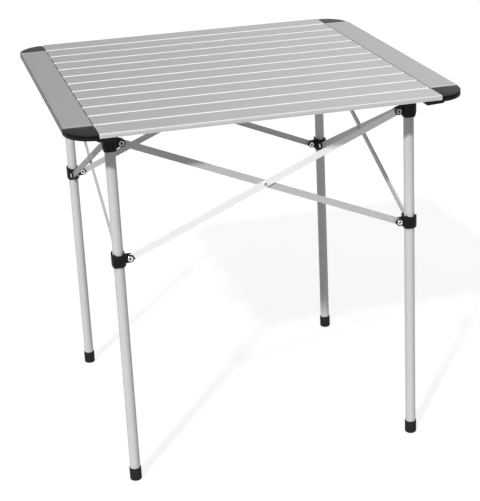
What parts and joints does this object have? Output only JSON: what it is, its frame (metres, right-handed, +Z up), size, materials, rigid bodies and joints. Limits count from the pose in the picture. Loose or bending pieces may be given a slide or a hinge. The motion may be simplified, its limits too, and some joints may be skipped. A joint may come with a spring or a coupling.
{
  "type": "folding camp table",
  "caption": "Square roll-up slatted camp table with rounded corners on a four-sided scissor frame with sliding collars and straight legs.",
  "frame": {"origin": "on the floor, below the middle of the table top", "axes": "+X along the slats to the right, +Y to the rear across the slats, +Z up out of the table top"},
  "size_m": [0.7, 0.719, 0.685],
  "materials": {
    "slat": "satin anodised extrusion",
    "rail": "satin anodised extrusion",
    "tube": "drawn tube, satin anodised",
    "bar": "flat bar, satin anodised",
    "rivet": "plated eyelet rivet",
    "nylon": "black moulded nylon, fine grain",
    "rubber": "black moulded rubber"
  },
  "bodies": {
    "front_left_leg": {"front_left_leg_tube": "tube", "front_left_foot": "rubber", "front_left_bracket": "nylon", "front_left_bracket_front_rivet": "rivet", "front_left_bracket_left_rivet": "rivet"},
    "front_left_slider": {"front_left_slider": "nylon", "front_left_slider_front_rivet": "rivet", "front_left_slider_left_rivet": "rivet"},
    "front_right_leg": {"front_right_leg_tube": "tube", "front_right_foot": "rubber", "front_right_bracket": "nylon", "front_right_bracket_right_rivet": "rivet", "front_right_bracket_front_rivet": "rivet"},
    "front_right_slider": {"front_right_slider": "nylon", "front_right_slider_right_rivet": "rivet", "front_right_slider_front_rivet": "rivet"},
    "rear_right_leg": {"rear_right_leg_tube": "tube", "rear_right_foot": "rubber", "rear_right_bracket": "nylon", "rear_right_bracket_rear_rivet": "rivet", "rear_right_bracket_right_rivet": "rivet"},
    "rear_right_slider": {"rear_right_slider": "nylon", "rear_right_slider_rear_rivet": "rivet", "rear_right_slider_right_rivet": "rivet"},
    "rear_left_leg": {"rear_left_leg_tube": "tube", "rear_left_foot": "rubber", "rear_left_bracket": "nylon", "rear_left_bracket_left_rivet": "rivet", "rear_left_bracket_rear_rivet": "rivet"},
    "rear_left_slider": {"rear_left_slider": "nylon", "rear_left_slider_left_rivet": "rivet", "rear_left_slider_rear_rivet": "rivet"},
    "front_rising_bar": {"front_rising_bar": "bar"},
    "front_falling_bar": {"front_falling_bar": "bar"},
    "right_rising_bar": {"right_rising_bar": "bar"},
    "right_falling_bar": {"right_falling_bar": "bar"},
    "rear_rising_bar": {"rear_rising_bar": "bar"},
    "rear_falling_bar": {"rear_falling_bar": "bar"},
    "left_rising_bar": {"left_rising_bar": "bar"},
    "left_falling_bar": {"left_falling_bar": "bar"},
    "slat_01": {"slat_01": "slat"},
    "slat_02": {"slat_02": "slat"},
    "slat_03": {"slat_03": "slat"},
    "slat_04": {"slat_04": "slat"},
    "slat_05": {"slat_05": "slat"},
    "slat_06": {"slat_06": "slat"},
    "slat_07": {"slat_07": "slat"},
    "slat_08": {"slat_08": "slat"},
    "slat_09": {"slat_09": "slat"},
    "slat_10": {"slat_10": "slat"},
    "slat_11": {"slat_11": "slat"},
    "slat_12": {"slat_12": "slat"},
    "left_rail": {"left_side_rail": "rail", "front_left_corner_cap": "nylon", "rear_left_corner_cap": "nylon"},
    "right_rail": {"right_side_rail": "rail", "front_right_corner_cap": "nylon", "rear_right_corner_cap": "nylon"}
  },
  "joints": [
    {"name": "fold", "type": "hinge", "parent": "front_left_leg", "child": "front_falling_bar", "pos_m": [-0.249, -0.269, 0.641], "axis": [0, 1, 0], "range_deg": [0, 65]},
    {"name": "front_cross", "type": "hinge", "parent": "front_falling_bar", "child": "front_rising_bar", "pos_m": [0, -0.269, 0.5366], "axis": [0, 1, 0], "range_deg": [-130.01, 0]},
    {"name": "front_right_leg_pin", "type": "hinge", "parent": "front_rising_bar", "child": "front_right_leg", "pos_m": [0.249, -0.269, 0.641], "axis": [0, 1, 0], "range_deg": [0, 65.01]},
    {"name": "front_left_slider_pin", "type": "hinge", "parent": "front_rising_bar", "child": "front_left_slider", "pos_m": [-0.249, -0.269, 0.4322], "axis": [0, 1, 0], "range_deg": [0, 65.01]},
    {"name": "front_right_slider_pin", "type": "hinge", "parent": "front_falling_bar", "child": "front_right_slider", "pos_m": [0.249, -0.269, 0.4322], "axis": [0, 1, 0], "range_deg": [-65.01, 0]},
    {"name": "left_top_pin", "type": "hinge", "parent": "front_left_leg", "child": "left_rising_bar", "pos_m": [-0.269, -0.249, 0.641], "axis": [-1, 0, 0], "range_deg": [0, 65.01]},
    {"name": "left_cross", "type": "hinge", "parent": "left_rising_bar", "child": "left_falling_bar", "pos_m": [-0.269, 0, 0.5366], "axis": [-1, 0, 0], "range_deg": [-130.01, 0]},
    {"name": "rear_left_leg_pin", "type": "hinge", "parent": "left_falling_bar", "child": "rear_left_leg", "pos_m": [-0.269, 0.249, 0.641], "axis": [-1, 0, 0], "range_deg": [0, 65.01]},
    {"name": "rear_left_slider_pin", "type": "hinge", "parent": "left_rising_bar", "child": "rear_left_slider", "pos_m": [-0.269, 0.249, 0.4322], "axis": [-1, 0, 0], "range_deg": [-65.01, 0]},
    {"name": "right_top_pin", "type": "hinge", "parent": "front_right_leg", "child": "right_falling_bar", "pos_m": [0.269, -0.249, 0.641], "axis": [-1, 0, 0], "range_deg": [0, 65.01]},
    {"name": "right_cross", "type": "hinge", "parent": "right_falling_bar", "child": "right_rising_bar", "pos_m": [0.269, 0, 0.5366], "axis": [-1, 0, 0], "range_deg": [-130.01, 0]},
    {"name": "rear_right_leg_pin", "type": "hinge", "parent": "right_rising_bar", "child": "rear_right_leg", "pos_m": [0.269, 0.249, 0.641], "axis": [-1, 0, 0], "range_deg": [0, 65.01]},
    {"name": "rear_right_slider_pin", "type": "hinge", "parent": "right_falling_bar", "child": "rear_right_slider", "pos_m": [0.269, 0.249, 0.4322], "axis": [-1, 0, 0], "range_deg": [-65.01, 0]},
    {"name": "rear_top_pin", "type": "hinge", "parent": "rear_left_leg", "child": "rear_rising_bar", "pos_m": [-0.249, 0.269, 0.641], "axis": [0, 1, 0], "range_deg": [0, 65.01]},
    {"name": "rear_cross", "type": "hinge", "parent": "rear_rising_bar", "child": "rear_falling_bar", "pos_m": [0, 0.269, 0.5366], "axis": [0, 1, 0], "range_deg": [-130.01, 0]},
    {"name": "top_lift", "type": "slide", "parent": "front_left_leg", "child": "slat_02", "axis": [0, 0, 1], "range_m": [0, 0.15]},
    {"name": "left_rail_pull", "type": "slide", "parent": "slat_02", "child": "left_rail", "axis": [-1, 0, 0], "range_m": [0, 0.05]},
    {"name": "right_rail_pull", "type": "slide", "parent": "slat_02", "child": "right_rail", "axis": [1, 0, 0], "range_m": [0, 0.05]},
    {"name": "seam_03", "type": "hinge", "parent": "slat_02", "child": "slat_03", "pos_m": [0, -0.24, 0.685], "axis": [1, 0, 0], "range_deg": [0, 29]},
    {"name": "seam_04", "type": "hinge", "parent": "slat_03", "child": "slat_04", "pos_m": [0, -0.18, 0.685], "axis": [1, 0, 0], "range_deg": [0, 29]},
    {"name": "seam_05", "type": "hinge", "parent": "slat_04", "child": "slat_05", "pos_m": [0, -0.12, 0.685], "axis": [1, 0, 0], "range_deg": [0, 29]},
    {"name": "seam_06", "type": "hinge", "parent": "slat_05", "child": "slat_06", "pos_m": [0, -0.06, 0.685], "axis": [1, 0, 0], "range_deg": [0, 29]},
    {"name": "seam_07", "type": "hinge", "parent": "slat_06", "child": "slat_07", "pos_m": [0, 0, 0.685], "axis": [1, 0, 0], "range_deg": [0, 29]},
    {"name": "seam_08", "type": "hinge", "parent": "slat_07", "child": "slat_08", "pos_m": [0, 0.06, 0.685], "axis": [1, 0, 0], "range_deg": [0, 29]},
    {"name": "seam_09", "type": "hinge", "parent": "slat_08", "child": "slat_09", "pos_m": [0, 0.12, 0.685], "axis": [1, 0, 0], "range_deg": [0, 29]},
    {"name": "seam_10", "type": "hinge", "parent": "slat_09", "child": "slat_10", "pos_m": [0, 0.18, 0.685], "axis": [1, 0, 0], "range_deg": [0, 29]},
    {"name": "seam_11", "type": "hinge", "parent": "slat_10", "child": "slat_11", "pos_m": [0, 0.24, 0.685], "axis": [1, 0, 0], "range_deg": [0, 29]},
    {"name": "seam_12", "type": "hinge", "parent": "slat_11", "child": "slat_12", "pos_m": [0, 0.3, 0.685], "axis": [1, 0, 0], "range_deg": [0, 29]},
    {"name": "seam_02", "type": "hinge", "parent": "slat_02", "child": "slat_01", "pos_m": [0, -0.3, 0.685], "axis": [-1, 0, 0], "range_deg": [0, 29]}
  ],
  "couplings": [
    {"joint": "front_cross", "follows": "fold", "ratio": -2},
    {"joint": "front_right_leg_pin", "follows": "fold", "ratio": 1},
    {"joint": "front_left_slider_pin", "follows": "fold", "ratio": 1},
    {"joint": "front_right_slider_pin", "follows": "fold", "ratio": -1},
    {"joint": "left_top_pin", "follows": "fold", "ratio": 1},
    {"joint": "left_cross", "follows": "fold", "ratio": -2},
    {"joint": "rear_left_leg_pin", "follows": "fold", "ratio": 1},
    {"joint": "rear_left_slider_pin", "follows": "fold", "ratio": -1},
    {"joint": "right_top_pin", "follows": "fold", "ratio": 1},
    {"joint": "right_cross", "follows": "fold", "ratio": -2},
    {"joint": "rear_right_leg_pin", "follows": "fold", "ratio": 1},
    {"joint": "rear_right_slider_pin", "follows": "fold", "ratio": -1},
    {"joint": "rear_top_pin", "follows": "fold", "ratio": 1},
    {"joint": "rear_cross", "follows": "fold", "ratio": -2}
  ]
}
